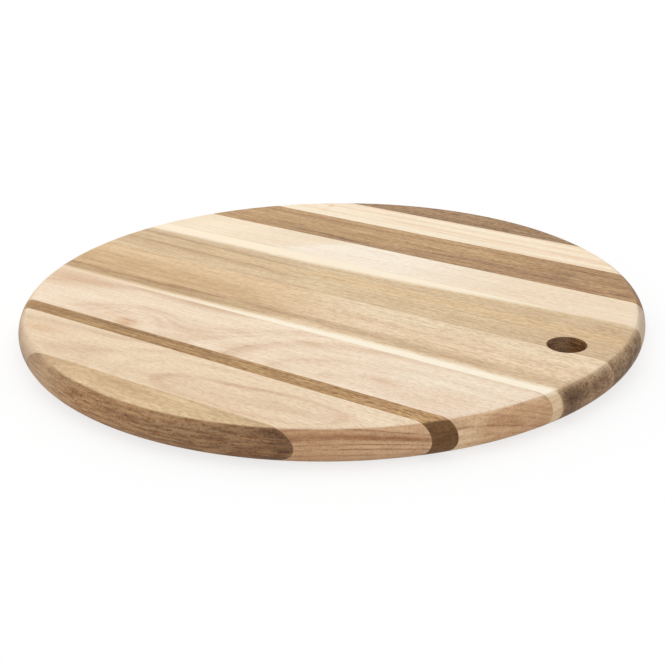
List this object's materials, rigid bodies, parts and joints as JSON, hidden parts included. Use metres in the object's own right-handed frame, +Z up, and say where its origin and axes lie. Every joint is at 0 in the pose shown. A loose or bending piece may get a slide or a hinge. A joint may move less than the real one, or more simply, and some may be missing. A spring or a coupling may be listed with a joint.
{
  "type": "round cutting board",
  "caption": "Flat round cutting board edge-glued from pale, tan and brown wood staves, with a bull-nosed rim and a hanging hole drilled near the edge.",
  "frame": {"origin": "centre of the flat underside, on the surface that the board lies on", "axes": "+Z up out of the work face, +X along the grain from the centre towards the hanging hole, +Y across the staves towards the back"},
  "size_m": [0.34, 0.34, 0.018],
  "materials": {
    "pale_wood": "satin",
    "cream_wood": "satin",
    "tan_wood": "satin",
    "brown_wood": "satin",
    "dark_wood": "satin",
    "glue": "matte"
  },
  "bodies": {
    "root": {"front_segment": "tan_wood", "front_pale_stave": "pale_wood", "dark_stripe": "dark_wood", "figured_stave": "pale_wood", "tan_stave": "tan_wood", "hole_stave": "tan_wood", "rear_pale_stave": "cream_wood", "brown_stave": "brown_wood", "cream_stave": "cream_wood", "rear_segment": "dark_wood", "glue_line_1": "glue", "glue_line_2": "glue", "glue_line_3": "glue", "glue_line_4": "glue", "glue_line_5_long": "glue", "glue_line_5_short": "glue", "glue_line_6": "glue", "glue_line_7": "glue", "glue_line_8": "glue", "glue_line_9": "glue"}
  },
  "joints": []
}
